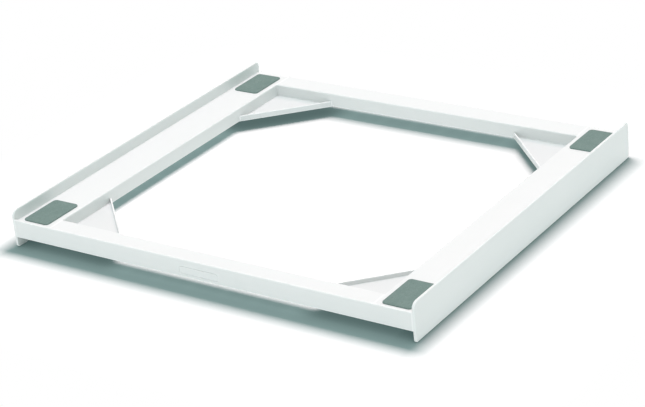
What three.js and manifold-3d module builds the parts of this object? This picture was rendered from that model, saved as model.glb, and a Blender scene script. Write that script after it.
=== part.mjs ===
import * as THREE from "three";
import { mergeVertices } from "three/addons/utils/BufferGeometryUtils.js";
import Module from "manifold-3d";

const wasm = await Module();
wasm.setup();

// A stacking frame that stands between a washing machine and a dryer.
// Lengths are in millimetres. X runs to the right, Y to the back and Z up. The origin lies on the
// floor, under the middle of the frame, which stands on the lower edges of its two guard plates.

// The whole frame
const frameWidth = 606;
const frameDepth = 550;

// Side members: an upright guard plate with a channel along its inner side
const guardHeight = 51.5;
const guardThickness = 3.5;
const guardFrontTopRadius = 10;
const guardFrontFootRadius = 4;
const guardRearRadius = 6;
const guardEdgeRadius = 0.8;
const railWidth = 55;

// The deck that the pads lie on, and the walls that hang below it
const deckHeight = 35.8;
const deckThickness = 3;
const deckEdgeRadius = 1.6;
const wallThickness = 3;
const wallFoot = 16.5;

// Front and rear bars
const frontBarWidth = 31.5;
const rearBarWidth = 34.5;
const fasciaThickness = 3;
const frontFasciaFoot = 14.7;
const frontLipRise = 3;
const lipEdgeRadius = 1.2;

// Bare badge frame: a groove in the front fascia
const badgeLength = 60;
const badgeHeight = 11.5;
const badgeRadius = 4.5;
const badgeGrooveWidth = 1.6;
const badgeGrooveDepth = 0.8;
const badgeOffset = -4;
const badgeFoot = 3.7;

// Corner plates, with a stiffening rib along their free edge
const cornerLeg = 97;
const cornerGauge = 2.5;
const cornerRadius = 5;
const ribRise = 5.5;
const ribThickness = 2;
const fitGap = 0.3;

// Stiffeners inside the channels
const stiffenerThickness = 2.4;
const railStiffeners = 5;
const barStiffeners = 5;
const padStiffeners = 3;

// Pads on the deck, and the same pads under the corner plates
const padWidth = 40.4;
const padLength = 64;
const padThickness = 1.5;
const padRadius = 5;
const padGuardMargin = 6.8;
const padFrontMargin = 9.7;
const padRearMargin = 11.2;

// Countersunk screws and the bosses that they bite into
const screwLength = 14;
const screwDiameter = 3.8;
const screwHeadDiameter = 7.6;
const screwHeadDepth = 2;
const screwHeadRim = 0.4;
const screwPointLength = 2;
const screwPointDiameter = 1;
const recessSpan = 4;
const recessWidth = 1;
const recessDepth = 1.4;
const bossDiameter = 9;
const boreDepth = 13;
const screwPlay = 0.2;
const screwEdgeMargin = 12;

// How finely round shapes are cut into flats, and how far a cutter overruns what it cuts
const cornerSteps = 5;
const roundSides = 16;
const overrun = 1;
const sameSpot = 1e-6;

const guardInner = frameWidth / 2 - guardThickness;
const railInner = guardInner - railWidth;
const frameFront = frameDepth / 2;
const channelEnd = frameFront - fasciaThickness;
const cornerPlateTop = wallFoot + cornerGauge;
const deckUnderside = deckHeight - deckThickness;
const bars = {
  front: { sign: -1, width: frontBarWidth, foot: frontFasciaFoot, lipRise: frontLipRise,
    padMargin: padFrontMargin },
  rear: { sign: 1, width: rearBarWidth, foot: wallFoot, lipRise: 0, padMargin: padRearMargin },
};
const sides = { left: -1, right: 1 };

const moulding = { color: 0xf2f4f3, roughness: 0.42, metalness: 0 };
const rubber = { color: 0x82918d, roughness: 0.85, metalness: 0 };
const zincPlate = { color: 0xb9bdc0, roughness: 0.35, metalness: 1 };

// Outlines and solids

// A closed outline from [x, y, radius] corners, with an arc at each corner that has a radius.
function outline(corners) {
  const points = [];
  corners.forEach(([x, y, radius = 0], index) => {
    const corner = new THREE.Vector2(x, y);
    const [beforeX, beforeY] = corners.at(index - 1);
    const [afterX, afterY] = corners[(index + 1) % corners.length];
    if (radius === 0) {
      points.push(corner);
      return;
    }
    const back = new THREE.Vector2(beforeX, beforeY).sub(corner).normalize();
    const ahead = new THREE.Vector2(afterX, afterY).sub(corner).normalize();
    const halfAngle = Math.acos(back.dot(ahead)) / 2;
    const centre = back.clone().add(ahead).setLength(radius / Math.sin(halfAngle)).add(corner);
    const start = back.multiplyScalar(radius / Math.tan(halfAngle)).add(corner).sub(centre);
    const end = ahead.multiplyScalar(radius / Math.tan(halfAngle)).add(corner).sub(centre);
    const turn = Math.sign(start.cross(end)) * (Math.PI - 2 * halfAngle);
    for (let step = 0; step <= cornerSteps; step += 1) {
      const spoke = start.clone().rotateAround(new THREE.Vector2(), (turn * step) / cornerSteps);
      points.push(spoke.add(centre));
    }
  });
  const spaced = points.filter((point, index) => point.distanceTo(points.at(index - 1)) > sameSpot);
  return new THREE.Shape(spaced);
}

function roundedRectangle(left, right, low, high, radius) {
  return outline([
    [left, low, radius],
    [right, low, radius],
    [right, high, radius],
    [left, high, radius],
  ]);
}

function solid(geometry) {
  const bare = geometry.clone();
  bare.deleteAttribute("normal");
  bare.deleteAttribute("uv");
  const merged = mergeVertices(bare, sameSpot);
  return new wasm.Manifold(new wasm.Mesh({
    numProp: 3,
    vertProperties: Float32Array.from(merged.attributes.position.array),
    triVerts: Uint32Array.from(merged.index.array),
  }));
}

function prism(shape, low, high) {
  const geometry = new THREE.ExtrudeGeometry(shape, { depth: high - low, bevelEnabled: false });
  return geometry.translate(0, 0, low);
}

// An outline in Y and Z, drawn out along X.
function alongX(shape, low, high) {
  const toYZ = new THREE.Matrix4().makeBasis(
    new THREE.Vector3(0, 1, 0),
    new THREE.Vector3(0, 0, 1),
    new THREE.Vector3(1, 0, 0),
  );
  return solid(prism(shape, low, high).applyMatrix4(toYZ));
}

// An outline in X and Z, drawn out along Y.
function alongY(shape, low, high) {
  return solid(prism(shape, -high, -low).rotateX(Math.PI / 2));
}

// An outline in X and Y, drawn out along Z.
function alongZ(shape, low, high) {
  return solid(prism(shape, low, high));
}

// A box between two opposite corners, given in any order.
function box(from, to) {
  const a = new THREE.Vector3(...from);
  const b = new THREE.Vector3(...to);
  const size = b.clone().sub(a);
  const geometry = new THREE.BoxGeometry(Math.abs(size.x), Math.abs(size.y), Math.abs(size.z));
  const centre = a.add(b).divideScalar(2);
  return solid(geometry.translate(centre.x, centre.y, centre.z));
}

// An upright round solid whose [radius, height] profile starts and ends on its axis.
function turned(profile, x, y) {
  const points = profile.map(([radius, height]) => new THREE.Vector2(radius, height));
  const geometry = new THREE.LatheGeometry(points, roundSides);
  return solid(geometry.rotateX(Math.PI / 2).translate(x, y, 0));
}

function uprightCylinder(diameter, x, y, low, high) {
  const radius = diameter / 2;
  return turned([[0, low], [radius, low], [radius, high], [0, high]], x, y);
}

function named(name, body, look) {
  const { vertProperties, triVerts } = body.getMesh();
  const geometry = new THREE.BufferGeometry();
  geometry.setAttribute("position", new THREE.BufferAttribute(vertProperties, 3));
  geometry.setIndex(new THREE.BufferAttribute(triVerts, 1));
  geometry.computeVertexNormals();
  const mesh = new THREE.Mesh(geometry, new THREE.MeshStandardMaterial(look));
  mesh.name = name;
  return mesh;
}

// Places that several pieces share

const cornerTipX = railInner - cornerLeg;
const railMiddle = (railInner + wallThickness + guardInner) / 2;
const barInner = (bar) => frameFront - bar.width;
const barMiddle = (bar) => (barInner(bar) + wallThickness + channelEnd) / 2;
const cornerTipY = (bar) => barInner(bar) - cornerLeg;
const padOuterX = guardInner - padGuardMargin;
const padOuterY = (bar) => frameFront - bar.padMargin;

// The four screws of a corner: two go up into the rail and two into the bar.
function screwSpots(side, bar) {
  const padInnerY = padOuterY(bar) - padLength;
  const places = [
    [railMiddle, padInnerY - screwEdgeMargin],
    [railMiddle, cornerTipY(bar) + screwEdgeMargin],
    [railInner - screwEdgeMargin, barMiddle(bar)],
    [cornerTipX + screwEdgeMargin, barMiddle(bar)],
  ];
  return places.map(([x, y]) => [side * x, bar.sign * y]);
}

function boss(x, y) {
  return uprightCylinder(bossDiameter, x, y, cornerPlateTop, deckUnderside + deckThickness / 2);
}

function bossBore(x, y) {
  const diameter = screwDiameter + 2 * screwPlay;
  return uprightCylinder(diameter, x, y, cornerPlateTop - overrun, cornerPlateTop + boreDepth);
}

function evenly(count, low, high) {
  return Array.from({ length: count }, (_, index) => low + ((high - low) * (index + 1)) / (count + 1));
}

// Side members

function guardPlate(side) {
  const section = roundedRectangle(
    side * guardInner, side * (guardInner + guardThickness), 0, guardHeight, guardEdgeRadius,
  );
  const profile = outline([
    [-frameFront, 0, guardFrontFootRadius],
    [frameFront, 0, guardRearRadius],
    [frameFront, guardHeight, guardRearRadius],
    [-frameFront, guardHeight, guardFrontTopRadius],
  ]);
  const plate = alongY(section, -frameFront, frameFront);
  return plate.intersect(alongX(profile, -frameWidth, frameWidth));
}

function sideMember(sideName) {
  const side = sides[sideName];
  const buried = guardInner + guardThickness / 2;
  const channel = outline([
    [side * buried, deckHeight],
    [side * railInner, deckHeight, deckEdgeRadius],
    [side * railInner, wallFoot],
    [side * (railInner + wallThickness), wallFoot],
    [side * (railInner + wallThickness), deckUnderside],
    [side * buried, deckUnderside],
  ]);
  let body = guardPlate(side).add(alongY(channel, -channelEnd, channelEnd));
  const addStiffener = (y) => {
    const half = stiffenerThickness / 2;
    body = body.add(box(
      [side * (railInner + wallThickness / 2), y - half, cornerPlateTop],
      [side * buried, y + half, deckUnderside + deckThickness / 2],
    ));
  };
  evenly(railStiffeners, -cornerTipY(bars.front), cornerTipY(bars.rear)).forEach(addStiffener);
  Object.values(bars).forEach((bar) => {
    const padEdge = padOuterY(bar);
    evenly(padStiffeners, padEdge - padLength, padEdge).forEach((y) => addStiffener(bar.sign * y));
    const railSpots = screwSpots(side, bar).slice(0, 2);
    railSpots.forEach(([x, y]) => {
      body = body.add(boss(x, y)).subtract(bossBore(x, y));
    });
    // The wall is cut back by the thickness of the corner plate that passes under it.
    body = body.subtract(box(
      [side * (railInner - overrun), bar.sign * (cornerTipY(bar) - fitGap), 0],
      [side * (railInner + wallThickness + overrun), bar.sign * frameFront, cornerPlateTop],
    ));
  });
  return named(`${sideName}_side_member`, body, moulding);
}

// Crossbars

function badgeGroove() {
  const low = frontFasciaFoot + badgeFoot;
  const plan = (inset) => roundedRectangle(
    badgeOffset - badgeLength / 2 + inset, badgeOffset + badgeLength / 2 - inset,
    low + inset, low + badgeHeight - inset, badgeRadius - inset,
  );
  const cutEnd = -frameFront + badgeGrooveDepth;
  const ring = alongY(plan(0), -frameFront - overrun, cutEnd);
  return ring.subtract(alongY(plan(badgeGrooveWidth), -frameFront - 2 * overrun, cutEnd + overrun));
}

function crossbar(barName) {
  const bar = bars[barName];
  const toY = (distance) => bar.sign * (frameFront - distance);
  const top = deckHeight + bar.lipRise;
  const lip = [
    [toY(fasciaThickness), top, lipEdgeRadius],
    [toY(fasciaThickness), deckHeight],
  ];
  const section = outline([
    [toY(0), bar.foot],
    [toY(0), top, lipEdgeRadius],
    ...(bar.lipRise > 0 ? lip : []),
    [toY(bar.width), deckHeight, deckEdgeRadius],
    [toY(bar.width), wallFoot],
    [toY(bar.width - wallThickness), wallFoot],
    [toY(bar.width - wallThickness), deckUnderside],
    [toY(fasciaThickness), deckUnderside],
    [toY(fasciaThickness), bar.foot],
  ]);
  let body = alongX(section, -guardInner, guardInner);
  const addStiffener = (x) => {
    const half = stiffenerThickness / 2;
    body = body.add(box(
      [x - half, toY(fasciaThickness / 2), cornerPlateTop],
      [x + half, toY(bar.width - wallThickness / 2), deckUnderside + deckThickness / 2],
    ));
  };
  evenly(barStiffeners, -cornerTipX, cornerTipX).forEach(addStiffener);
  Object.values(sides).forEach((side) => {
    const barSpots = screwSpots(side, bar).slice(2);
    addStiffener((barSpots[0][0] + barSpots[1][0]) / 2);
    barSpots.forEach(([x, y]) => {
      body = body.add(boss(x, y)).subtract(bossBore(x, y));
    });
    // Beyond the rail's inner wall only the fascia and its lip go on, to the guard plate.
    body = body.subtract(box(
      [side * railInner, toY(fasciaThickness), 0],
      [side * frameWidth, toY(bar.width + overrun), deckHeight],
    ));
    body = body.subtract(box(
      [side * (cornerTipX - fitGap), toY(bar.width - wallThickness - overrun), 0],
      [side * railInner, toY(bar.width + overrun), cornerPlateTop],
    ));
  });
  if (barName === "front") {
    body = body.subtract(badgeGroove());
  }
  return named(`${barName}_crossbar`, body, moulding);
}

// Corner plates

function cornerPlate(sideName, barName) {
  const side = sides[sideName];
  const bar = bars[barName];
  const place = ([x, y, radius]) => [side * x, bar.sign * y, radius];
  const innerY = barInner(bar);
  const tipY = cornerTipY(bar);
  const plan = outline([
    [guardInner - fitGap, channelEnd - fitGap],
    [guardInner - fitGap, tipY, cornerRadius],
    [railInner, tipY],
    [cornerTipX, innerY],
    [cornerTipX, channelEnd - fitGap, cornerRadius],
  ].map(place));
  const slant = ribThickness * Math.SQRT2;
  const ribPlan = outline([
    [railInner - fitGap, tipY + fitGap],
    [railInner - fitGap, tipY + fitGap + slant],
    [cornerTipX + fitGap + slant, innerY - fitGap],
    [cornerTipX + fitGap, innerY - fitGap],
  ].map(place));
  let body = alongZ(plan, wallFoot, cornerPlateTop);
  body = body.add(alongZ(ribPlan, wallFoot + cornerGauge / 2, cornerPlateTop + ribRise));
  screwSpots(side, bar).forEach(([x, y]) => {
    const holeRadius = screwDiameter / 2 + screwPlay;
    const mouthRadius = screwHeadDiameter / 2 + screwPlay;
    body = body.subtract(turned([
      [0, wallFoot - overrun],
      [mouthRadius, wallFoot - overrun],
      [mouthRadius, wallFoot + screwHeadRim],
      [holeRadius, wallFoot + screwHeadDepth],
      [holeRadius, cornerPlateTop + overrun],
      [0, cornerPlateTop + overrun],
    ], x, y));
  });
  return named(`${barName}_${sideName}_corner_plate`, body, moulding);
}

// Pads

function pad(name, side, bar, low) {
  const outerX = side * padOuterX;
  const innerX = side * (padOuterX - padWidth);
  const outerY = bar.sign * padOuterY(bar);
  const innerY = bar.sign * (padOuterY(bar) - padLength);
  const plan = roundedRectangle(innerX, outerX, innerY, outerY, padRadius);
  return named(name, alongZ(plan, low, low + padThickness), rubber);
}

// Screws, driven upwards: each has a cross recess in its flat head

function screw(name, x, y) {
  const headRadius = screwHeadDiameter / 2;
  const shankRadius = screwDiameter / 2;
  const top = wallFoot + screwLength;
  let body = turned([
    [0, wallFoot],
    [headRadius, wallFoot],
    [headRadius, wallFoot + screwHeadRim],
    [shankRadius, wallFoot + screwHeadDepth],
    [shankRadius, top - screwPointLength],
    [screwPointDiameter / 2, top],
    [0, top],
  ], x, y);
  const long = recessSpan / 2;
  const short = recessWidth / 2;
  [[long, short], [short, long]].forEach(([halfX, halfY]) => {
    body = body.subtract(box(
      [x - halfX, y - halfY, wallFoot - overrun],
      [x + halfX, y + halfY, wallFoot + recessDepth],
    ));
  });
  return named(name, body, zincPlate);
}

// The assembly

const frame = new THREE.Group();
Object.keys(sides).forEach((sideName) => frame.add(sideMember(sideName)));
Object.keys(bars).forEach((barName) => frame.add(crossbar(barName)));
Object.entries(bars).forEach(([barName, bar]) => {
  Object.entries(sides).forEach(([sideName, side]) => {
    const corner = `${barName}_${sideName}`;
    frame.add(cornerPlate(sideName, barName));
    frame.add(pad(`${corner}_upper_pad`, side, bar, deckHeight));
    frame.add(pad(`${corner}_lower_pad`, side, bar, wallFoot - padThickness));
    screwSpots(side, bar).forEach(([x, y], index) => {
      frame.add(screw(`${corner}_screw_${index + 1}`, x, y));
    });
  });
});

export default frame;
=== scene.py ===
import math

import bmesh
import bpy
from mathutils import Matrix, Vector


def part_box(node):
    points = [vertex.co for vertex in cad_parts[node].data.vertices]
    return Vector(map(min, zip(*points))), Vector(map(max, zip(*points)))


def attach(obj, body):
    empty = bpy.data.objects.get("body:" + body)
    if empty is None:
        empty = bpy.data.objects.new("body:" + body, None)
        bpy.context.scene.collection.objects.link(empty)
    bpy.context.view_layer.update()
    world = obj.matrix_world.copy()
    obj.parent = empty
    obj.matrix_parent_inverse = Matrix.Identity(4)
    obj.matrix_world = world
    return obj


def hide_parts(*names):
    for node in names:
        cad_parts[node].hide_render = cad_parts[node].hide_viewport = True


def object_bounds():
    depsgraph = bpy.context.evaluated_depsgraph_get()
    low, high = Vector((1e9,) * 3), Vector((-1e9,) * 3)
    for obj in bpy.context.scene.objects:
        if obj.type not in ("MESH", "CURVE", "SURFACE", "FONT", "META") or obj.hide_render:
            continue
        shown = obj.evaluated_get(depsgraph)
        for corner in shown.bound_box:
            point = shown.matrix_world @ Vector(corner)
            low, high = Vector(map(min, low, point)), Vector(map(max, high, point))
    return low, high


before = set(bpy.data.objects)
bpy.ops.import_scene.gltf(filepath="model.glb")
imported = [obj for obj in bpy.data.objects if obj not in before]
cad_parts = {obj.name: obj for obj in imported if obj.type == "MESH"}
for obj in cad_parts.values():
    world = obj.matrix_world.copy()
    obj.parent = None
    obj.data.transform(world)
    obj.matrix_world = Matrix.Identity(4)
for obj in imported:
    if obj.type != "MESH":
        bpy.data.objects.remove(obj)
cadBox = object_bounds()
mm = 0.001      # a millimetre, in the scene's metres
print("frame loaded:", len(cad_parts), "nodes")


# camera

cameraView = {
    "azimuth": 35.98,        # degrees round from the front, towards the right
    "elevation": 25.28,
    "roll": -5.64,
    "distance": 2.65256,     # metres along the line of sight to the frame's origin
    "originRight": 0.00668,  # how far the origin lies off the line of sight
    "originUp": 0.00297,
    "focalPixels": 2016.43,
    "imageWidth": 645,
    "sensorWidth": 36.0,     # millimetres
    "clipEnd": 100.0,
}


# the way that two angles point, in degrees round from the front and up from level
def direction(azimuth, elevation):
    azimuth, elevation = math.radians(azimuth), math.radians(elevation)
    return Vector((math.sin(azimuth) * math.cos(elevation),
                   -math.cos(azimuth) * math.cos(elevation),
                   math.sin(elevation)))


def makeCamera(view):
    back = direction(view["azimuth"], view["elevation"])
    roll = math.radians(view["roll"])
    levelRight = (-back).cross(Vector((0, 0, 1))).normalized()
    levelUp = back.cross(levelRight)
    right = levelRight * math.cos(roll) + levelUp * math.sin(roll)
    up = levelUp * math.cos(roll) - levelRight * math.sin(roll)
    place = back * view["distance"] - right * view["originRight"] - up * view["originUp"]
    data = bpy.data.cameras.new("photoCamera")
    data.sensor_fit = "HORIZONTAL"
    data.sensor_width = view["sensorWidth"]
    data.lens = view["focalPixels"] / view["imageWidth"] * view["sensorWidth"]
    data.clip_end = view["clipEnd"]
    camera = bpy.data.objects.new("photoCamera", data)
    turn = Matrix((right, up, back)).transposed().to_4x4()
    camera.matrix_world = Matrix.Translation(place) @ turn
    bpy.context.scene.collection.objects.link(camera)
    bpy.context.scene.camera = camera


makeCamera(cameraView)
print("camera placed")


# materials and shader nodes

def newMaterial(name):
    material = bpy.data.materials.new(name)
    material.use_nodes = True
    material.node_tree.nodes.clear()
    return material, material.node_tree


def addNode(tree, kind, inputs=None, **settings):
    node = tree.nodes.new(kind)
    for key, value in settings.items():
        setattr(node, key, value)
    for key, value in (inputs or {}).items():
        if isinstance(value, bpy.types.NodeSocket):
            tree.links.new(value, node.inputs[key])
        else:
            node.inputs[key].default_value = value
    return node


# a colour Mix node has its share at input 0, its colours at 6 and 7, and the mixture at output 2
def mixColor(tree, share, first, second):
    return addNode(tree, "ShaderNodeMix", {0: share, 6: first, 7: second},
                   data_type="RGBA", clamp_factor=True).outputs[2]


# floor, world and lamps, with lengths in metres

studio = {
    "floorSize": 60.0,
    "floorBounce": (0.95, 0.95, 0.95, 1),
    "floorPaint": (0.066, 0.1, 0.103, 1),      # dark: the softbox lights it, and the world hardly counts
    "openShade": (0.214, 0.300, 0.295, 1),     # painted shade: how the floor glows where no softbox light falls
    "contactShade": (0.0, 0.01, 0.01, 1),      # painted shade: the floor's glow close under the object
    "contactReach": 0.03,
    "contactSamples": 16,
    "floorFar": (1.0, 1.0, 1.0, 1),
    "shadowEnd": (0.10, 0.22),   # metres out from the object's sides, where the floor turns plain white
    "worldFill": (0.480, 0.549, 0.503, 1),
    "worldSeen": (1.0, 1.0, 1.0, 1),
    "worldStrength": 1.0,
    # azimuth, elevation and spread are in degrees
    "lamps": {
        "overhead": {"azimuth": 0, "elevation": 90, "spread": 30,
                     "strength": 1.64, "color": (0.93, 0.936, 1.0)},
        "back": {"azimuth": 180, "elevation": 62, "spread": 25,
                 "strength": 0.74, "color": (1.0, 0.67, 0.71)},
        "front": {"azimuth": 0, "elevation": 8, "spread": 30,
                  "strength": 0.39, "color": (0.70, 0.90, 1.0)},
        "right": {"azimuth": 90, "elevation": 8, "spread": 30,
                  "strength": 0.20, "color": (0.35, 0.92, 1.0)},
    },
    "softbox": {"place": (0.0, 0.4, 1.0), "size": 0.6,
                "strength": 127.7, "color": (1.0, 0.581, 0.572)},
}


def makeGround(name, size):
    half = size / 2
    mesh = bpy.data.meshes.new(name)
    mesh.from_pydata([(-half, -half, 0), (half, -half, 0), (half, half, 0), (-half, half, 0)],
                     [], [(0, 1, 2, 3)])
    ground = bpy.data.objects.new(name, mesh)
    bpy.context.scene.collection.objects.link(ground)
    ground.visible_shadow = False
    material, tree = newMaterial(name)
    mesh.materials.append(material)
    return ground, tree


# the floor that throws light back up at the object
def makeBounceFloor(look):
    floor, tree = makeGround("bounceFloor", look["floorSize"])
    floor.visible_camera = floor.visible_glossy = floor.visible_transmission = False
    paint = addNode(tree, "ShaderNodeBsdfDiffuse", {"Color": look["floorBounce"]})
    addNode(tree, "ShaderNodeOutputMaterial", {"Surface": paint.outputs[0]})


# how far a place on the floor has turned from shade to plain white, by its distance from the object
def farShare(tree, look):
    place = addNode(tree, "ShaderNodeTexCoord")
    folded = addNode(tree, "ShaderNodeVectorMath", {0: place.outputs["Object"]}, operation="ABSOLUTE")
    past = addNode(tree, "ShaderNodeVectorMath", {0: folded.outputs[0], 1: cadBox[1]},
                   operation="SUBTRACT")
    outside = addNode(tree, "ShaderNodeVectorMath", {0: past.outputs[0], 1: (0, 0, 0)},
                      operation="MAXIMUM")
    away = addNode(tree, "ShaderNodeVectorMath", {0: outside.outputs[0]}, operation="LENGTH")
    start, end = look["shadowEnd"]
    return addNode(tree, "ShaderNodeMapRange", {"Value": away.outputs["Value"], "From Min": start,
                                                "From Max": end},
                   interpolation_type="SMOOTHSTEP").outputs[0]


# the floor that is seen: it takes the shadow, turns plain white further out, and is clear from below
def makeSeenFloor(look):
    floor, tree = makeGround("seenFloor", look["floorSize"])
    floor.visible_diffuse = False
    lit = addNode(tree, "ShaderNodeBsdfDiffuse", {"Color": look["floorPaint"]})
    # painted shade: the floor glows with openShade, which darkens towards contactShade where the object
    # lies within contactReach
    openness = addNode(tree, "ShaderNodeAmbientOcclusion", {"Distance": look["contactReach"]},
                       samples=look["contactSamples"])
    shade = mixColor(tree, openness.outputs["AO"], look["contactShade"], look["openShade"])
    glow = addNode(tree, "ShaderNodeEmission", {"Color": shade, "Strength": 1.0})
    near = addNode(tree, "ShaderNodeAddShader", {0: lit.outputs[0], 1: glow.outputs[0]})
    white = addNode(tree, "ShaderNodeEmission", {"Color": look["floorFar"], "Strength": 1.0})
    mixed = addNode(tree, "ShaderNodeMixShader", {0: farShare(tree, look), 1: near.outputs[0],
                                                  2: white.outputs[0]})
    face = addNode(tree, "ShaderNodeNewGeometry")
    clear = addNode(tree, "ShaderNodeBsdfTransparent")
    shown = addNode(tree, "ShaderNodeMixShader", {0: face.outputs["Backfacing"], 1: mixed.outputs[0],
                                                  2: clear.outputs[0]})
    addNode(tree, "ShaderNodeOutputMaterial", {"Surface": shown.outputs[0]})
    return floor


def makeWorld(look):
    world = bpy.data.worlds.new("studioWorld")
    world.use_nodes = True
    tree = world.node_tree
    tree.nodes.clear()
    path = addNode(tree, "ShaderNodeLightPath")
    shown = addNode(tree, "ShaderNodeMath", {0: path.outputs["Is Camera Ray"],
                                             1: path.outputs["Is Glossy Ray"]}, operation="MAXIMUM")
    fill = addNode(tree, "ShaderNodeBackground", {"Color": look["worldFill"],
                                                  "Strength": look["worldStrength"]})
    seen = addNode(tree, "ShaderNodeBackground", {"Color": look["worldSeen"], "Strength": 1.0})
    mixed = addNode(tree, "ShaderNodeMixShader", {0: shown.outputs[0], 1: fill.outputs[0],
                                                  2: seen.outputs[0]})
    addNode(tree, "ShaderNodeOutputWorld", {"Surface": mixed.outputs[0]})
    bpy.context.scene.world = world


def makeLamp(name, look):
    data = bpy.data.lights.new(name, "SUN")
    data.energy = look["strength"]
    data.color = look["color"]
    data.angle = math.radians(look["spread"])
    lamp = bpy.data.objects.new(name, data)
    lamp.rotation_mode = "QUATERNION"
    lamp.rotation_quaternion = direction(look["azimuth"], look["elevation"]).to_track_quat("Z", "Y")
    bpy.context.scene.collection.objects.link(lamp)
    return lamp


# a softbox above the back that lights the seen floor alone, and so draws the object's shadow;
# each Light Falloff multiplies its light by the distance squared, one to make up for the distance
# and one for the slant at which it meets the floor, so that the open floor is lit about evenly
def makeSoftbox(look):
    data = bpy.data.lights.new("softbox", "AREA")
    data.shape = "SQUARE"
    data.size = look["size"]
    data.energy = look["strength"]
    data.color = look["color"]
    data.use_nodes = True
    tree = data.node_tree
    glow = next(node for node in tree.nodes if node.type == "EMISSION")
    first = addNode(tree, "ShaderNodeLightFalloff", {"Strength": 1.0})
    second = addNode(tree, "ShaderNodeLightFalloff", {"Strength": first.outputs["Constant"]})
    tree.links.new(second.outputs["Constant"], glow.inputs["Strength"])
    lamp = bpy.data.objects.new("softbox", data)
    lamp.location = look["place"]
    lamp.rotation_mode = "QUATERNION"
    lamp.rotation_quaternion = Vector(look["place"]).to_track_quat("Z", "Y")
    bpy.context.scene.collection.objects.link(lamp)
    return lamp


# with EXCLUDE the lamp lights all but this floor, and with INCLUDE this floor alone
def linkLight(lamp, floor, state):
    lit = bpy.data.collections.new(f"{lamp.name}Lights")
    lit.objects.link(floor)
    lit.collection_objects[0].light_linking.link_state = state
    lamp.light_linking.receiver_collection = lit


makeBounceFloor(studio)
seenFloor = makeSeenFloor(studio)
makeWorld(studio)
for lampName, lampLook in studio["lamps"].items():
    linkLight(makeLamp(lampName, lampLook), seenFloor, "EXCLUDE")
linkLight(makeSoftbox(studio["softbox"]), seenFloor, "INCLUDE")
bpy.context.scene.view_settings.view_transform = "Standard"
print("studio set")


# effects that the materials share, each a node group

effects = {
    "toneRange": (0.3, 0.7),         # a cloudy noise hardly ever goes past these
    "grainDetail": 2.0, "cloudDetail": 3.0,
    "edgeOpenness": (0.96, 0.72),    # how open the solid is inwards where rub and painted highlight begin, and where they are full
    "edgeSamples": 8,
    # rub and painted highlight show where the patches' noise is over patchStart less the cover
    "patchDetail": 4.0, "patchStart": 0.9, "patchFade": 0.2,
    "dustUpness": (0.5, 1.0),        # how far a face looks up, where dust begins and where it is full
    "dustRange": (0.45, 0.8), "dustDetail": 6.0, "dustRoughness": 0.65,
}


def newGroup(name, inputs, outputs):
    group = bpy.data.node_groups.new(name, "ShaderNodeTree")
    for label, value in inputs.items():
        socket = group.interface.new_socket(label, in_out="INPUT", socket_type="NodeSocketFloat")
        socket.default_value = value
    for label in outputs:
        group.interface.new_socket(label, in_out="OUTPUT", socket_type="NodeSocketFloat")
    return group, addNode(group, "NodeGroupInput"), addNode(group, "NodeGroupOutput")


def calculate(tree, operation, first, second=0.0, third=0.0):
    inputs = {0: first, 1: second, 2: third}
    return addNode(tree, "ShaderNodeMath", inputs, operation=operation).outputs[0]


def mapRange(tree, value, given, wanted=(0.0, 1.0)):
    return addNode(tree, "ShaderNodeMapRange", {
        "Value": value, "From Min": given[0], "From Max": given[1],
        "To Min": wanted[0], "To Max": wanted[1]}).outputs[0]


# a noise over the object, its size in millimetres
def addNoise(tree, size, detail, roughness=0.5):
    place = addNode(tree, "ShaderNodeTexCoord").outputs["Object"]
    scale = calculate(tree, "DIVIDE", 1 / mm, size)
    return addNode(tree, "ShaderNodeTexNoise", {"Vector": place, "Scale": scale, "Detail": detail,
                                                "Roughness": roughness}).outputs[0]


# fine pitted skin of a moulded surface, as heights and as a slow change of tone
def makeGrainGroup(look):
    group, given, result = newGroup("grain", {"Grain Size": 0.4, "Cloud Size": 60.0}, ("Height", "Tone"))
    fine = addNoise(group, given.outputs["Grain Size"], look["grainDetail"])
    cloud = addNoise(group, given.outputs["Cloud Size"], look["cloudDetail"])
    group.links.new(fine, result.inputs["Height"])
    group.links.new(cloud, result.inputs["Tone"])
    return group


# lighter edges: a painted highlight along the white moulding's edges, rub on the rubber and the zinc; a
# short way in from an edge, the solid ends again
def makeRubAndHighlightGroup(look):
    group, given, result = newGroup("edgeRubAndHighlight", {"Reach": 0.6, "Patch Size": 8.0, "Cover": 0.5,
                                                "Strength": 1.0}, ("Mask",))
    reach = calculate(group, "MULTIPLY", given.outputs["Reach"], mm)
    inwards = addNode(group, "ShaderNodeAmbientOcclusion", {"Distance": reach},
                      samples=look["edgeSamples"], inside=True, only_local=True)
    edge = mapRange(group, inwards.outputs["AO"], look["edgeOpenness"])
    patch = addNoise(group, given.outputs["Patch Size"], look["patchDetail"])
    bare = calculate(group, "SUBTRACT", look["patchStart"], given.outputs["Cover"])
    fullPatch = calculate(group, "ADD", bare, look["patchFade"])
    mask = calculate(group, "MULTIPLY", edge, mapRange(group, patch, (bare, fullPatch)))
    scaled = calculate(group, "MULTIPLY", mask, given.outputs["Strength"])
    group.links.new(scaled, result.inputs["Mask"])
    return group


# thin dust that has settled on faces that look up
def makeDustGroup(look):
    group, given, result = newGroup("dust", {"Cloud Size": 35.0, "Strength": 0.3}, ("Mask",))
    geometry = addNode(group, "ShaderNodeNewGeometry")
    normal = addNode(group, "ShaderNodeSeparateXYZ", {0: geometry.outputs["Normal"]})
    settled = mapRange(group, normal.outputs["Z"], look["dustUpness"])
    cloud = addNoise(group, given.outputs["Cloud Size"], look["dustDetail"], look["dustRoughness"])
    mask = calculate(group, "MULTIPLY", settled, mapRange(group, cloud, look["dustRange"]))
    scaled = calculate(group, "MULTIPLY", mask, given.outputs["Strength"])
    group.links.new(scaled, result.inputs["Mask"])
    return group


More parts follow.
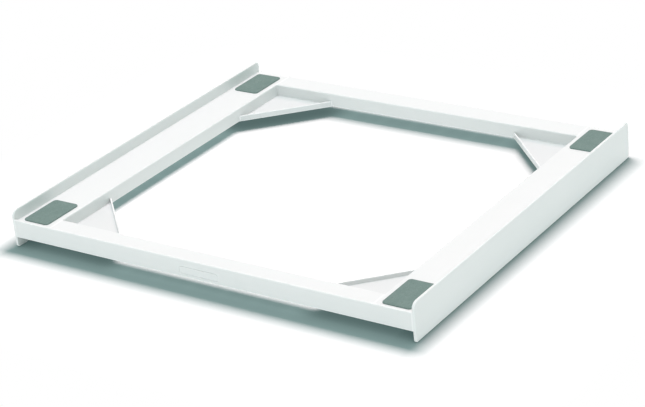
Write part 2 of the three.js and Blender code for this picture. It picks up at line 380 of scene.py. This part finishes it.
grainGroup = makeGrainGroup(effects)
rubAndHighlightGroup = makeRubAndHighlightGroup(effects)
dustGroup = makeDustGroup(effects)


def useGroup(tree, group, inputs):
    node = addNode(tree, "ShaderNodeGroup", node_tree=group)
    for key, value in inputs.items():
        node.inputs[key].default_value = value
    return node.outputs


# the three effects with one material's values: tone and height of its grain, masks of rub with painted
# highlight, and of dust
def useEffects(tree, look):
    grain = useGroup(tree, grainGroup, {"Grain Size": look["grainSize"],
                                        "Cloud Size": look["cloudSize"]})
    rubAndHighlight = useGroup(tree, rubAndHighlightGroup, {"Reach": look["rubAndHighlightReach"], "Patch Size": look["rubAndHighlightPatch"],
                                     "Cover": look["rubAndHighlightCover"], "Strength": look["rubAndHighlightStrength"]})
    dust = useGroup(tree, dustGroup, {"Cloud Size": look["dustCloud"], "Strength": look["dustStrength"]})
    return grain["Tone"], grain["Height"], rubAndHighlight["Mask"], dust["Mask"]


# a noise's tone, spread from the first of the wanted values to the second
def spread(tree, tone, wanted):
    return mapRange(tree, tone, effects["toneRange"], wanted)


# lighter edges (rub, and on the moulding a painted highlight), and dust on top of them, over a material's
# own colour
def weathered(tree, color, rubAndHighlight, dust, look):
    rubbedAndHighlit = mixColor(tree, rubAndHighlight, color, look["rubAndHighlightColor"])
    return mixColor(tree, dust, rubbedAndHighlit, look["dustColor"])


def pitted(tree, height, look):
    return addNode(tree, "ShaderNodeBump", {"Height": height, "Strength": look["grainStrength"],
                                            "Distance": look["grainDepth"] * mm}).outputs[0]


def finishMaterial(tree, inputs):
    shader = addNode(tree, "ShaderNodeBsdfPrincipled", inputs)
    addNode(tree, "ShaderNodeOutputMaterial", {"Surface": shader.outputs[0]})


# satin white moulding, with a spark-eroded skin and edges whitened as a painted highlight; here and below,
# the looks' sizes are in millimetres

mouldingLook = {
    "color": (0.798, 0.800, 0.798, 1),
    "cloudColor": (0.782, 0.787, 0.785, 1),
    # painted highlight: the moulding's edges are whitened towards this colour
    "rubAndHighlightColor": (0.885, 0.885, 0.885, 1),
    "dustColor": (0.70, 0.69, 0.67, 1),
    "roughness": (0.38, 0.47),
    "ior": 1.46,
    "grainSize": 0.45, "cloudSize": 70.0, "grainDepth": 0.012, "grainStrength": 0.5,
    "rubAndHighlightReach": 1.6, "rubAndHighlightPatch": 9.0, "rubAndHighlightCover": 0.65, "rubAndHighlightStrength": 1.0,
    "rubSmoothing": 0.08,    # how much smoother a rubbed place is
    "dustCloud": 30.0, "dustStrength": 0.05,
}
# the corner plates are moulded apart; their white is made a little greyer as painted shade, for the shade
# of the recess that they lie in
plateShadeLook = {
    **mouldingLook,
    "color": (0.748, 0.756, 0.755, 1),
    "cloudColor": (0.735, 0.744, 0.743, 1),
}


def makeMoulding(look, name):
    material, tree = newMaterial(name)
    tone, height, rubAndHighlight, dust = useEffects(tree, look)
    cloudy = mixColor(tree, spread(tree, tone, (0.0, 1.0)), look["color"], look["cloudColor"])
    roughness = spread(tree, tone, look["roughness"])
    finishMaterial(tree, {
        "Base Color": weathered(tree, cloudy, rubAndHighlight, dust, look),
        "Roughness": calculate(tree, "MULTIPLY_ADD", rubAndHighlight, -look["rubSmoothing"], roughness),
        "IOR": look["ior"],
        "Normal": pitted(tree, height, look),
    })
    return material


# grey rubber, granular and matt

rubberLook = {
    "color": (0.156, 0.227, 0.207, 1),
    "darkFleck": (0.105, 0.156, 0.143, 1),
    "paleFleck": (0.238, 0.318, 0.290, 1),
    "rubAndHighlightColor": (0.228, 0.306, 0.283, 1),
    "dustColor": (0.41, 0.44, 0.42, 1),
    "roughness": (0.78, 0.90),
    "ior": 1.45,
    "grainSize": 0.6, "cloudSize": 18.0, "grainDepth": 0.05, "grainStrength": 0.6,
    "cloudStrength": 0.12,
    "fleckSize": 0.9, "fleckStrength": 0.5,
    # each granule has a number from 0 to 1, and these are the ones where a fleck starts and is full
    "paleNumbers": (0.86, 0.96), "darkNumbers": (0.14, 0.04),
    "rubAndHighlightReach": 0.5, "rubAndHighlightPatch": 3.0, "rubAndHighlightCover": 0.5, "rubAndHighlightStrength": 0.7,
    "dustCloud": 12.0, "dustStrength": 0.10,
}


def makeRubber(look):
    material, tree = newMaterial("grey_rubber")
    tone, height, rubAndHighlight, dust = useEffects(tree, look)
    place = addNode(tree, "ShaderNodeTexCoord").outputs["Object"]
    scale = 1 / (look["fleckSize"] * mm)
    granules = addNode(tree, "ShaderNodeTexVoronoi", {"Vector": place, "Scale": scale})
    number = addNode(tree, "ShaderNodeSeparateColor", {0: granules.outputs["Color"]}).outputs[0]
    pale = mapRange(tree, number, look["paleNumbers"], (0.0, look["fleckStrength"]))
    dark = mapRange(tree, number, look["darkNumbers"], (0.0, look["fleckStrength"]))
    darker = mixColor(tree, dark, look["color"], look["darkFleck"])
    flecked = mixColor(tree, pale, darker, look["paleFleck"])
    cloudy = mixColor(tree, spread(tree, tone, (0.0, look["cloudStrength"])), flecked, look["darkFleck"])
    finishMaterial(tree, {
        "Base Color": weathered(tree, cloudy, rubAndHighlight, dust, look),
        "Roughness": spread(tree, tone, look["roughness"]),
        "IOR": look["ior"],
        "Normal": pitted(tree, height, look),
    })
    return material


# zinc-plated steel of the screws, a little blue with yellower clouds, and bright where it is rubbed

zincLook = {
    "color": (0.58, 0.60, 0.62, 1),
    "cloudColor": (0.62, 0.60, 0.52, 1), "cloudStrength": 0.6,
    "rubAndHighlightColor": (0.78, 0.79, 0.80, 1),
    "dustColor": (0.42, 0.41, 0.39, 1),
    "roughness": (0.24, 0.42),
    "grainSize": 0.25, "cloudSize": 3.0, "grainDepth": 0.006, "grainStrength": 0.5,
    "rubAndHighlightReach": 0.15, "rubAndHighlightPatch": 1.2, "rubAndHighlightCover": 0.5, "rubAndHighlightStrength": 0.9,
    "dustCloud": 3.0, "dustStrength": 0.15,
}


def makeZinc(look):
    material, tree = newMaterial("zinc_plated_steel")
    tone, height, rubAndHighlight, dust = useEffects(tree, look)
    share = spread(tree, tone, (0.0, look["cloudStrength"]))
    cloudy = mixColor(tree, share, look["color"], look["cloudColor"])
    finishMaterial(tree, {
        "Base Color": weathered(tree, cloudy, rubAndHighlight, dust, look),
        "Metallic": 1.0,
        "Roughness": spread(tree, tone, look["roughness"]),
        "Normal": pitted(tree, height, look),
    })
    return material


materials = {
    "white_moulding": makeMoulding(mouldingLook, "white_moulding"),
    "plate_moulding_painted_shade": makeMoulding(plateShadeLook, "plate_moulding_painted_shade"),
    "grey_rubber": makeRubber(rubberLook),
    "zinc_plated_steel": makeZinc(zincLook),
}
print("materials made")


# solids: outlines in millimetres, drawn out or turned into closed meshes

weldDistance = 1e-4
turnedSides = 48
sharpAngle = 32      # degrees between two faces, past which the edge between them is sharp

# where an outline's a and b, and the length c that it is drawn out along, lie in x, y and z
alongX = lambda a, b, c: (c, a, b)
alongY = lambda a, b, c: (a, c, b)
alongZ = lambda a, b, c: (a, b, c)


# corners are (a, b) or (a, b, radius); inset moves every side inwards and shortens the radii
def outlinePoints(corners, inset=0.0, steps=8):
    spots = [Vector(corner[:2]) for corner in corners]
    area = sum(before.x * after.y - after.x * before.y
               for before, after in zip(spots[-1:] + spots, spots))
    turn = math.copysign(1, area)
    points = []
    for index, corner in enumerate(corners):
        spot = spots[index]
        arriving = (spot - spots[index - 1]).normalized()
        leaving = (spots[(index + 1) % len(spots)] - spot).normalized()
        inwards = Vector((-arriving.y, arriving.x)) * turn, Vector((-leaving.y, leaving.x)) * turn
        spot = spot + (inwards[0] + inwards[1]) * (inset / (1 + inwards[0].dot(inwards[1])))
        if len(corner) < 3 or corner[2] == 0:
            points.append(spot)
            continue
        bend = math.atan2(arriving.x * leaving.y - arriving.y * leaving.x, arriving.dot(leaving))
        radius = max(corner[2] - inset * turn * math.copysign(1, bend), 0)
        start = spot - arriving * radius * math.tan(abs(bend) / 2)
        centre = start + Vector((-arriving.y, arriving.x)) * radius * math.copysign(1, bend)
        for step in range(steps + 1):
            points.append(centre + Matrix.Rotation(bend * step / steps, 2) @ (start - centre))
    return points


# a closed mesh from rings of points; its ends are filled or, with wrap, joined to each other
def makeSolid(name, rings, wrap=False):
    size = len(rings[0])
    faces = []
    for index in range(len(rings) if wrap else len(rings) - 1):
        here, there = index * size, (index + 1) % len(rings) * size
        for k in range(size):
            faces.append((here + k, here + (k + 1) % size, there + (k + 1) % size, there + k))
    if not wrap:
        faces += [tuple(range(size)), tuple(range((len(rings) - 1) * size, len(rings) * size))]
    mesh = bpy.data.meshes.new(name)
    mesh.from_pydata([point for ring in rings for point in ring], [], faces)
    work = bmesh.new()
    work.from_mesh(mesh)
    bmesh.ops.remove_doubles(work, verts=work.verts, dist=weldDistance)
    bmesh.ops.recalc_face_normals(work, faces=work.faces)
    work.to_mesh(mesh)
    work.free()
    piece = bpy.data.objects.new(name, mesh)
    bpy.context.scene.collection.objects.link(piece)
    return piece


# an outline drawn out from low to high, with rounded rims of those radii
def slab(corners, place, low, high, rimLow=0.0, rimHigh=0.0, steps=8, rimSteps=5, name="tool"):
    low, high = min(low, high), max(low, high)
    levels = []
    for step in range(rimSteps + 1):
        angle = math.pi / 2 * step / rimSteps
        levels.append((low + rimLow * (1 - math.cos(angle)), rimLow * (1 - math.sin(angle))))
    for step in range(rimSteps, -1, -1):
        angle = math.pi / 2 * step / rimSteps
        levels.append((high - rimHigh * (1 - math.cos(angle)), rimHigh * (1 - math.sin(angle))))
    kept = [level for index, level in enumerate(levels) if index == 0 or level != levels[index - 1]]
    rings = [[place(a, b, height) for a, b in outlinePoints(corners, inset, steps)]
             for height, inset in kept]
    return makeSolid(name, rings)


# a plain box between two x, two y and two z, each pair in either order
def block(xs, ys, zs):
    (left, right), (near, far) = sorted(xs), sorted(ys)
    return slab([(left, near), (right, near), (right, far), (left, far)], alongZ, *zs)


# a (radius, height) profile turned about an upright axis
def turned(profile, x, y):
    angles = [2 * math.pi * k / turnedSides for k in range(turnedSides)]
    rings = [[(x + radius * math.cos(angle), y + radius * math.sin(angle), height) for angle in angles]
             for radius, height in profile]
    return makeSolid("tool", rings)


def combine(body, operation, tools):
    for tool in tools:
        change = body.modifiers.new("combine", "BOOLEAN")
        change.operation = operation
        change.solver = "MANIFOLD"
        change.object = tool
    takeOver(body)
    for tool in tools:
        mesh = tool.data
        bpy.data.objects.remove(tool)
        bpy.data.meshes.remove(mesh)


# what the modifiers make becomes the piece's own mesh
def takeOver(piece):
    seen = piece.evaluated_get(bpy.context.evaluated_depsgraph_get())
    old, piece.data = piece.data, bpy.data.meshes.new_from_object(seen)
    piece.modifiers.clear()
    piece.data.name = piece.name
    bpy.data.meshes.remove(old)


def dressMesh(mesh, material, angle):
    mesh.transform(Matrix.Scale(mm, 4))
    mesh.materials.append(material)
    mesh.shade_smooth()
    mesh.set_sharp_from_angle(angle=math.radians(angle))


# finish names the material to show, where it isn't the slot's own
def finishPiece(piece, node, slotName, finish=None):
    piece.data.materials.clear()
    dressMesh(piece.data, materials[finish or slotName], sharpAngle)
    even = piece.modifiers.new("evenNormals", "WEIGHTED_NORMAL")
    even.keep_sharp = True
    takeOver(piece)
    placePiece(piece, node)


def placePiece(piece, node):
    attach(piece, "root")
    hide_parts(node)


# places that part a stretch into even lengths, its ends left out
def evenly(count, low, high):
    return [low + (high - low) * (index + 1) / (count + 1) for index in range(count)]


# places that the pieces share, from the frame, in millimetres

def cornersOf(node):
    return [[round(value / mm, 3) for value in corner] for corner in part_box(node)]


# x and y are measured out from the frame's middle, and a side or a bar gives them their sign
memberLow, memberHigh = cornersOf("right_side_member")
railInner, guardOuter = memberLow[0], memberHigh[0]
frameEnd, guardHeight = memberHigh[1:]
guardInner = cornersOf("front_crossbar")[1][0]
wallFoot, deckHeight = (corner[2] for corner in cornersOf("rear_crossbar"))

sides = {"left": -1, "right": 1}
bars = {}
for barName, sign in (("front", -1), ("rear", 1)):
    low, high = cornersOf(f"{barName}_crossbar")
    bars[barName] = {"sign": sign, "foot": low[2], "top": high[2],
                     "inner": min(abs(low[1]), abs(high[1]))}

channel = {
    "deckThickness": 3.0, "wallThickness": 3.0, "fasciaThickness": 3.0,
    "deckEdge": 1.6, "footEdge": 0.6, "innerFillet": 1.0,
    "stiffenerThickness": 2.4, "stiffenerEdge": 0.8,
    "bossDiameter": 9.0, "bossRim": 0.4, "bossFillet": 1.2, "bossSteps": 6,
    "boreDiameter": 4.2, "boreDepth": 13.0, "boreMouth": 0.4,
    "boreTaper": 3.0,        # a bore's radius over the height of its tapered end
    "ejectorDiameter": 6.0, "ejectorDepth": 0.2,
}
fascia = {"footEdge": 0.5, "lipEdge": 0.8, "lipFillet": 0.8}

deckUnderside = deckHeight - channel["deckThickness"]
channelEnd = frameEnd - channel["fasciaThickness"]
plateTop = 19.0          # the corner plates' slabs end here, and bosses and stiffeners come down to it
plateGap = 0.3           # between a corner plate and the wall that is notched for it
overrun = 1.0            # how far a tool goes past what it cuts
hair = 0.01              # keeps two faces out of one plane
screwsPerCorner = 4
railScrews = 2           # of them, the first ones; the others go into the crossbar


# the inner ends of a bar's corner plates, out from the middle of the frame
def cornerTip(bar):
    low, high = cornersOf(f"{bar}_right_corner_plate")
    return low[0], min(abs(low[1]), abs(high[1]))


def screwSpots(bar, side):
    spots = []
    for index in range(1, screwsPerCorner + 1):
        low, high = cornersOf(f"{bar}_{side}_screw_{index}")
        spots.append(((low[0] + high[0]) / 2, (low[1] + high[1]) / 2))
    return spots


def padEdges(bar, side):
    low, high = cornersOf(f"{bar}_{side}_upper_pad")
    return low[1], high[1]


# a bar's fascia: its outer face from foot to top and, where a lip stands on the deck, the lip's back
def fasciaCorners(bar):
    outer, back = bar["sign"] * frameEnd, bar["sign"] * channelEnd
    corners = [(outer, bar["foot"], fascia["footEdge"]), (outer, bar["top"], fascia["lipEdge"])]
    if bar["top"] > deckHeight:
        corners += [(back, bar["top"], fascia["lipEdge"]), (back, deckHeight, fascia["lipFillet"])]
    return corners


# what hangs below the decks: stiffeners, screw bosses and their bores, and ejector marks

def stiffener(middle, place, start, end):
    half, edge = channel["stiffenerThickness"] / 2, channel["stiffenerEdge"]
    top = deckUnderside + channel["deckThickness"] / 2
    corners = [(middle - half, plateTop, edge), (middle + half, plateTop, edge),
               (middle + half, top), (middle - half, top)]
    return slab(corners, place, start, end)


def boss(x, y):
    radius, rim = channel["bossDiameter"] / 2, channel["bossRim"]
    fillet, steps = channel["bossFillet"], channel["bossSteps"]
    profile = [(0, plateTop), (radius - rim, plateTop), (radius, plateTop + rim)]
    for step in range(steps + 1):
        angle = math.pi / 2 * step / steps
        profile.append((radius + fillet * (1 - math.cos(angle)),
                        deckUnderside - fillet * (1 - math.sin(angle))))
    profile += [(radius + fillet, deckUnderside + overrun), (0, deckUnderside + overrun)]
    return turned(profile, x, y)


def bore(x, y):
    radius, mouth = channel["boreDiameter"] / 2, channel["boreMouth"]
    foot, top = plateTop - overrun, plateTop + channel["boreDepth"]
    return turned([(0, foot), (radius + mouth, foot), (radius + mouth, plateTop),
                   (radius, plateTop + mouth), (radius, top - radius / channel["boreTaper"]),
                   (0, top)], x, y)


def ejectorMark(x, y):
    radius, foot = channel["ejectorDiameter"] / 2, deckUnderside - overrun
    top = deckUnderside + channel["ejectorDepth"]
    return turned([(0, foot), (radius, foot), (radius, top), (0, top)], x, y)


# side members

sideMember = {
    "frontTopRadius": 10.0, "frontFootRadius": 4.0, "rearRadius": 6.0, "radiusSteps": 12,
    "rimRadius": 1.25, "rimSteps": 6, "deckFillet": 0.9,
    "railStiffeners": 5, "padStiffeners": 3,
    "ejectorOffset": 12.0,   # towards the rear, from places that part the rail evenly
}


# the back of the fascia's stub inside a guard plate
def stubBack(bar):
    back = bar["sign"] * channelEnd
    top = (back, bar["top"], fascia["lipEdge"]) if bar["top"] > deckHeight else (back, bar["top"])
    return [top, (back, bar["foot"], fascia["footEdge"])]


# middle is halfway through the guard plate, where all that joins it from inside ends
def makeSideMember(sideName):
    side = sides[sideName]
    profile = [(-frameEnd, 0, sideMember["frontFootRadius"]), (frameEnd, 0, sideMember["rearRadius"]),
               (frameEnd, guardHeight, sideMember["rearRadius"]),
               (-frameEnd, guardHeight, sideMember["frontTopRadius"])]
    rim = sideMember["rimRadius"]
    body = slab(profile, alongX, side * guardInner, side * guardOuter, rim, rim,
                steps=sideMember["radiusSteps"], rimSteps=sideMember["rimSteps"],
                name=f"{sideName}_side_member_moulding")
    middle = side * (guardInner + guardOuter) / 2
    inner, wallBack = side * railInner, side * (railInner + channel["wallThickness"])
    wallMiddle = side * (railInner + channel["wallThickness"] / 2)
    face, fillet, small = side * guardInner, sideMember["deckFillet"], channel["innerFillet"]
    section = [
        (middle, deckHeight + fillet), (face, deckHeight + fillet), (face, deckHeight, fillet),
        (inner, deckHeight, channel["deckEdge"]), (inner, wallFoot, channel["footEdge"]),
        (wallBack, wallFoot, channel["footEdge"]), (wallBack, deckUnderside, small),
        (face, deckUnderside, small), (face, deckUnderside - small), (middle, deckUnderside - small),
    ]
    added = [slab(section, alongY, -channelEnd, channelEnd)]
    openRail = -cornerTip("front")[1], cornerTip("rear")[1]
    for y in evenly(sideMember["railStiffeners"], *openRail):
        added.append(stiffener(y, alongX, wallMiddle, middle))
    cuts, holes = [], []
    for barName, bar in bars.items():
        sign, tipY = bar["sign"], cornerTip(barName)[1]
        for y in evenly(sideMember["padStiffeners"], *padEdges(barName, sideName)):
            added.append(stiffener(y, alongX, wallMiddle, middle))
        # the bar's deck goes on to the guard, and its fascia into the guard's front or rear edge
        end, start = sign * channelEnd, sign * bar["inner"]
        deck = [(end, deckHeight), (start, deckHeight, channel["deckEdge"]), (start, deckUnderside),
                (end, deckUnderside)]
        added.append(slab(deck, alongX, inner, middle))
        added.append(slab(fasciaCorners(bar)[:2] + stubBack(bar), alongX, face, middle))
        for x, y in screwSpots(barName, sideName)[:railScrews]:
            added.append(boss(x, y))
            holes.append(bore(x, y))
        # the rail's wall is notched for the corner plate
        cuts.append(block((inner - side * overrun, wallBack + side * overrun),
                          (sign * (tipY - plateGap), sign * (frameEnd + overrun)), (-overrun, plateTop)))
    for y in evenly(sideMember["railStiffeners"] + 1, *openRail)[::2]:
        holes.append(ejectorMark(side * (railInner + guardInner) / 2, y + sideMember["ejectorOffset"]))
    combine(body, "UNION", added)
    combine(body, "DIFFERENCE", cuts + holes)
    finishPiece(body, f"{sideName}_side_member", "white_moulding")


for sideName in sides:
    makeSideMember(sideName)
print("side members made")


# crossbars

crossbar = {
    "stiffeners": 5,
    "stiffenerReach": 1.0,   # how far into the fascia one runs, and how far behind the wall's open face
}
# the oblong groove on the front; its foot is measured from the fascia's lower edge
badgePlace = {
    "length": 60.0, "height": 11.5, "radius": 4.5, "offset": -4.0, "foot": 3.7,
    "grooveWidth": 1.6, "grooveDepth": 0.8, "steps": 10,
}


def badgeGroove(foot):
    half, depth = badgePlace["grooveWidth"] / 2, badgePlace["grooveDepth"]
    radius, steps = badgePlace["radius"], badgePlace["steps"]
    left = badgePlace["offset"] - badgePlace["length"] / 2
    right = badgePlace["offset"] + badgePlace["length"] / 2
    low = foot + badgePlace["foot"]
    high = low + badgePlace["height"]
    corners = [(left, low, radius), (right, low, radius), (right, high, radius), (left, high, radius)]
    levels = [(0.0, overrun)]
    for step in range(steps + 1):
        angle = math.pi * step / steps
        levels.append((half * (1 - math.cos(angle)), -depth * math.sin(angle)))
    levels.append((2 * half, overrun))
    rings = [[(a, -frameEnd - out, b) for a, b in outlinePoints(corners, inset, steps)]
             for inset, out in levels]
    return makeSolid("tool", rings, wrap=True)


def barStiffener(bar, x):
    reach = crossbar["stiffenerReach"]
    return stiffener(x, alongY, bar["sign"] * (channelEnd + reach), bar["sign"] * (bar["inner"] + reach))


def makeCrossbar(barName):
    bar = bars[barName]
    sign, inner = bar["sign"], bar["sign"] * bar["inner"]
    end, wallBack = sign * channelEnd, sign * (bar["inner"] + channel["wallThickness"])
    small = channel["innerFillet"]
    front = fasciaCorners(bar)
    section = front + [
        (inner, deckHeight, channel["deckEdge"]), (inner, wallFoot, channel["footEdge"]),
        (wallBack, wallFoot, channel["footEdge"]), (wallBack, deckUnderside, small),
        (end, deckUnderside, small), (end, bar["foot"], fascia["footEdge"]),
    ]
    body = slab(section, alongX, -railInner, railInner, name=f"{barName}_crossbar_moulding")
    # the fascia alone goes on across the rails' ends to the guards
    if bar["top"] > deckHeight:
        stub = front + [(end - sign * fascia["lipFillet"], deckHeight), (end, deckHeight - hair)]
    else:
        stub = front + [(end, bar["top"])]
    stub.append((end, bar["foot"], fascia["footEdge"]))
    added, cuts, holes = [], [], []
    tipX = cornerTip(barName)[0]
    for x in evenly(crossbar["stiffeners"], -tipX, tipX):
        added.append(barStiffener(bar, x))
    for sideName, side in sides.items():
        added.append(slab(stub, alongX, side * (railInner - overrun), side * guardInner))
        spots = screwSpots(barName, sideName)[railScrews:]
        added.append(barStiffener(bar, (spots[0][0] + spots[1][0]) / 2))
        for x, y in spots:
            added.append(boss(x, y))
            holes.append(bore(x, y))
        # the bar's wall is notched for the corner plate
        cuts.append(block((side * (tipX - plateGap), side * (railInner + overrun)),
                          (inner - sign * overrun, wallBack + sign * overrun), (-overrun, plateTop)))
    if barName == "front":
        holes.append(badgeGroove(bar["foot"]))
    combine(body, "UNION", added)
    combine(body, "DIFFERENCE", cuts + holes)
    finishPiece(body, f"{barName}_crossbar", "white_moulding")


for barName in bars:
    makeCrossbar(barName)
print("crossbars made")


# corner plates

cornerPlate = {
    "radius": 5.0, "rim": 0.35, "ribThickness": 2.0, "ribTopEdge": 0.35, "ribFootEdge": 0.4,
    "ribFillet": 0.8,
    "slabInset": 1.0,        # of the slab's free edge behind the rib's face, square to it
    "holeDiameter": 4.2, "mouthDiameter": 8.0, "headDepth": 2.0, "headRim": 0.4,
}


# a corner plate's outline, its free edge drawn back by that much along both walls
def plateOutline(barName, sideName, back=0.0):
    side, bar = sides[sideName], bars[barName]
    low, high = cornersOf(f"{barName}_{sideName}_corner_plate")
    outerX, outerY = max(abs(low[0]), abs(high[0])), max(abs(low[1]), abs(high[1]))
    tipX, tipY = cornerTip(barName)
    radius = cornerPlate["radius"]
    corners = [(outerX, outerY, 0), (outerX, tipY, radius), (railInner + back, tipY, 0),
               (tipX, bar["inner"] + back, 0), (tipX, outerY, radius)]
    return [(side * x, bar["sign"] * y, rounding) for x, y, rounding in corners]


# the rib on a corner plate's free edge; it ends inside the plate's outline, and above the slab also
# short of the walls that the plate runs under
def plateRib(barName, sideName, ribTop):
    side, bar = sides[sideName], bars[barName]
    tipX, tipY = cornerTip(barName)
    start = Vector((side * railInner, bar["sign"] * tipY))
    slant = Vector((side * tipX, bar["sign"] * bar["inner"])) - start
    along, inwards = slant.normalized(), Vector((side, bar["sign"])).normalized()
    onSlant = lambda a, b, c: (*(start + along * c + inwards * a), b)
    thick, rim = cornerPlate["ribThickness"], cornerPlate["rim"]
    spare = 2 * thick
    section = [
        (0, wallFoot, cornerPlate["ribFootEdge"]), (0, ribTop, cornerPlate["ribTopEdge"]),
        (thick, ribTop, cornerPlate["ribTopEdge"]), (thick, plateTop - rim, cornerPlate["ribFillet"]),
        (spare + rim, plateTop - rim), (spare + rim, wallFoot + rim), (thick, wallFoot),
    ]
    rib = slab(section, onSlant, -spare, slant.length + spare)
    plan = plateOutline(barName, sideName)
    combine(rib, "INTERSECT", [slab(plan, alongZ, wallFoot - overrun, ribTop + overrun)])
    wallX = side * (railInner - plateGap), side * (guardOuter + overrun)
    wallY = bar["sign"] * (bar["inner"] - plateGap), bar["sign"] * (frameEnd + overrun)
    wide, above = (-guardOuter - overrun, guardOuter + overrun), (plateTop, ribTop + overrun)
    combine(rib, "DIFFERENCE", [block(wallX, wide, above), block(wide, wallY, above)])
    return rib


def countersunkHole(x, y):
    mouth, hole = cornerPlate["mouthDiameter"] / 2, cornerPlate["holeDiameter"] / 2
    rim, seat = wallFoot + cornerPlate["headRim"], wallFoot + cornerPlate["headDepth"]
    return turned([(0, wallFoot - overrun), (mouth, wallFoot - overrun), (mouth, rim),
                   (hole, seat), (hole, plateTop + overrun), (0, plateTop + overrun)], x, y)


def makeCornerPlate(barName, sideName):
    node = f"{barName}_{sideName}_corner_plate"
    ribTop, rim = cornersOf(node)[1][2], cornerPlate["rim"]
    outline = plateOutline(barName, sideName, cornerPlate["slabInset"] * math.sqrt(2))
    body = slab(outline, alongZ, wallFoot, plateTop, rim, rim, name=f"{node}_moulding")
    combine(body, "UNION", [plateRib(barName, sideName, ribTop)])
    combine(body, "DIFFERENCE", [countersunkHole(x, y) for x, y in screwSpots(barName, sideName)])
    # the plates get the greyer white that paints the shade of their recess
    finishPiece(body, node, "white_moulding", "plate_moulding_painted_shade")


for barName in bars:
    for sideName in sides:
        makeCornerPlate(barName, sideName)
print("corner plates made")


# pads

padShape = {
    "radius": 5.0, "radiusSteps": 12,
    "rim": 0.45, "seatRim": 0.1,     # the seat is the side on the frame
}


def makePad(node, facesUp):
    low, high = cornersOf(node)
    radius = padShape["radius"]
    corners = [(low[0], low[1], radius), (high[0], low[1], radius), (high[0], high[1], radius),
               (low[0], high[1], radius)]
    rims = (padShape["seatRim"], padShape["rim"]) if facesUp else (padShape["rim"], padShape["seatRim"])
    pad = slab(corners, alongZ, low[2], high[2], *rims, steps=padShape["radiusSteps"],
               name=f"{node}_rubber")
    finishPiece(pad, node, "grey_rubber")


for barName in bars:
    for sideName in sides:
        makePad(f"{barName}_{sideName}_upper_pad", True)
        makePad(f"{barName}_{sideName}_lower_pad", False)
print("pads made")


# screws: one shape, shared by all

screw = {
    "headDiameter": 7.6, "headChamfer": 0.1, "headRim": 0.4, "headDepth": 2.0,
    "coreDiameter": 2.8, "threadDiameter": 3.8, "threadPitch": 1.6,
    "ridgeShare": 0.5,       # of the pitch that the thread's ridge takes up at its foot
    "pointLength": 2.4, "pointRadius": 0.02,
    "sides": 32, "rowHeight": 0.2, "sharpAngle": 35,
    "recessSpan": 4.0, "recessWidth": 1.0, "recessDepth": 1.4, "recessTaper": 0.6,
    "turnStep": 37,          # degrees from one screw's cross to the next one's
}


# the shaft's radius round a screw at one height: its thread winds up the core and fades into the point
def shaftRadius(height, length):
    core, thread = screw["coreDiameter"] / 2, screw["threadDiameter"] / 2
    taper = min(1.0, (length - height) / screw["pointLength"])

    def radiusAt(angle):
        phase = (height / screw["threadPitch"] - angle / (2 * math.pi)) % 1
        ridge = max(0.0, 1 - abs(phase - 0.5) * 2 / screw["ridgeShare"])
        return (core + (thread - core) * ridge) * taper + screw["pointRadius"]
    return radiusAt


# one blade of the cross that is cut into the head, narrower at its bottom
def recessBlade(halfX, halfY):
    levels = ((1.0, -overrun), (1.0, 0.0), (screw["recessTaper"], screw["recessDepth"]))
    return makeSolid("tool", [
        [(-halfX * share, -halfY * share, height), (halfX * share, -halfY * share, height),
         (halfX * share, halfY * share, height), (-halfX * share, halfY * share, height)]
        for share, height in levels])


# the head lies at the origin and the point above it, because the screws are driven in from below
def makeScrewShape(name):
    low, high = cornersOf("front_right_screw_1")
    length = high[2] - low[2]
    head, core, chamfer = screw["headDiameter"] / 2, screw["coreDiameter"] / 2, screw["headChamfer"]
    angles = [2 * math.pi * k / screw["sides"] for k in range(screw["sides"])]

    def ring(radiusAt, height):
        return [(radiusAt(angle) * math.cos(angle), radiusAt(angle) * math.sin(angle), height)
                for angle in angles]

    def roundRing(radius, height):
        return ring(lambda angle: radius, height)

    rings = [roundRing(0.0, 0), roundRing(head - chamfer, 0), roundRing(head, chamfer),
             roundRing(head, screw["headRim"]), roundRing(core, screw["headDepth"])]
    rows = int((length - screw["headDepth"]) / screw["rowHeight"])
    for row in range(1, rows + 1):
        height = screw["headDepth"] + (length - screw["headDepth"]) * row / rows
        rings.append(ring(shaftRadius(height, length), height))
    rings.append(roundRing(0.0, length))
    body = makeSolid(name, rings)
    long, short = screw["recessSpan"] / 2, screw["recessWidth"] / 2
    combine(body, "DIFFERENCE", [recessBlade(long, short), recessBlade(short, long)])
    dressMesh(body.data, materials["zinc_plated_steel"], screw["sharpAngle"])
    return body


screwShape = makeScrewShape("screw_shape")
turnCount = 0
for barName in bars:
    for sideName in sides:
        for index, (x, y) in enumerate(screwSpots(barName, sideName), 1):
            node = f"{barName}_{sideName}_screw_{index}"
            piece = bpy.data.objects.new(f"{node}_steel", screwShape.data)
            piece.location = (x * mm, y * mm, wallFoot * mm)
            piece.rotation_euler = (0, 0, math.radians(screw["turnStep"] * turnCount))
            turnCount += 1
            bpy.context.scene.collection.objects.link(piece)
            placePiece(piece, node)
bpy.data.objects.remove(screwShape)
print("screws made")
